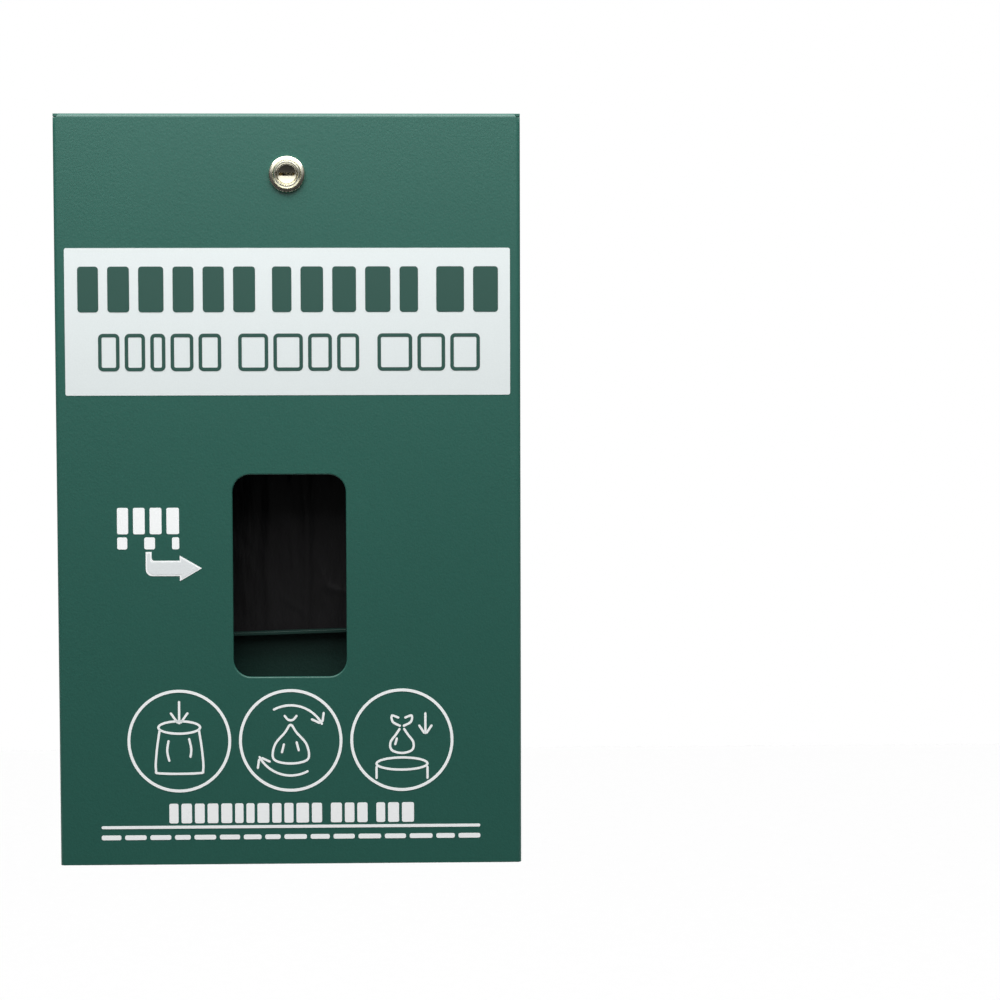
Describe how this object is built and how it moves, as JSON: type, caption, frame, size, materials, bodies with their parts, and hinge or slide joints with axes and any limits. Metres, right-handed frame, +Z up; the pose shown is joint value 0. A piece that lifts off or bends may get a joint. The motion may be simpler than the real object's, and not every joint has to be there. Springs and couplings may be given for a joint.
{
  "type": "dog waste bag dispenser",
  "caption": "Wall-mounted dog waste bag dispenser: folded steel box with a drop-down front, rounded pull opening, keyed cam lock and a hanging refill of tie-handle bags.",
  "frame": {"origin": "centre of the flat back, in the plane of the wall, which is also the centre of the four wall holes", "axes": "+Z up, +Y from the cover to the wall, so the cover faces -Y, and +X to the right of someone facing the cover"},
  "size_m": [0.235, 0.0786, 0.381],
  "materials": {
    "housing_paint": "textured powder coat, satin",
    "tray_paint": "textured powder coat, satin",
    "cover_paint": "textured powder coat, satin",
    "rivet_aluminium": "satin",
    "pin_steel": "turned, satin",
    "white_nylon": "moulded",
    "black_nylon": "moulded",
    "spring_steel": "oiled",
    "lock_chrome": "bright plate",
    "plug_nickel": "worn bright plate",
    "wafer_brass": "stamped",
    "zinc_steel": "zinc plate",
    "stud_steel": "zinc plate",
    "bag_film": "thin film, slight sheen",
    "sign_film": "printed vinyl film",
    "print_white": "printed vinyl film"
  },
  "bodies": {
    "housing": {"rear_housing": "housing_paint", "bag_tray": "tray_paint", "tray_rivets": "rivet_aluminium", "bag_stud": "stud_steel", "stud_spacer": "black_nylon", "bag_pack": "bag_film"},
    "cover": {"front_cover": "cover_paint", "hinge_pin_left": "pin_steel", "hinge_pin_right": "pin_steel", "hinge_washer_left": "white_nylon", "hinge_washer_right": "white_nylon", "hinge_clip_left": "spring_steel", "hinge_clip_right": "spring_steel", "lock_barrel": "lock_chrome", "lock_washer": "zinc_steel", "lock_nut": "zinc_steel", "sign_decal": "sign_film", "arrow_decal": "print_white", "step_decals": "print_white"},
    "lock": {"lock_plug": "plug_nickel", "lock_wafers": "wafer_brass", "lock_cam": "zinc_steel", "cam_washer": "spring_steel", "cam_screw": "zinc_steel"},
    "clamp": {"clamp_washer": "zinc_steel"},
    "nut": {"wing_nut": "zinc_steel"}
  },
  "joints": [
    {"name": "cover_hinge", "type": "hinge", "parent": "housing", "child": "cover", "pos_m": [0, -0.067, -0.1815], "axis": [1, 0, 0], "range_deg": [0, 92]},
    {"name": "lock_turn", "type": "hinge", "parent": "cover", "child": "lock", "pos_m": [0, -0.076, 0.1598], "axis": [0, 1, 0], "range_deg": [0, 90]},
    {"name": "clamp_slide", "type": "slide", "parent": "housing", "child": "clamp", "axis": [0, -1, 0], "range_m": [0, 0.012]},
    {"name": "nut_turn", "type": "hinge", "parent": "clamp", "child": "nut", "pos_m": [0, -0.0165, 0.0694], "axis": [0, -1, 0], "range_deg": [0, 4321]}
  ],
  "couplings": [
    {"joint": "nut_turn", "follows": "clamp_slide", "rad_per_m": 6283.2}
  ]
}
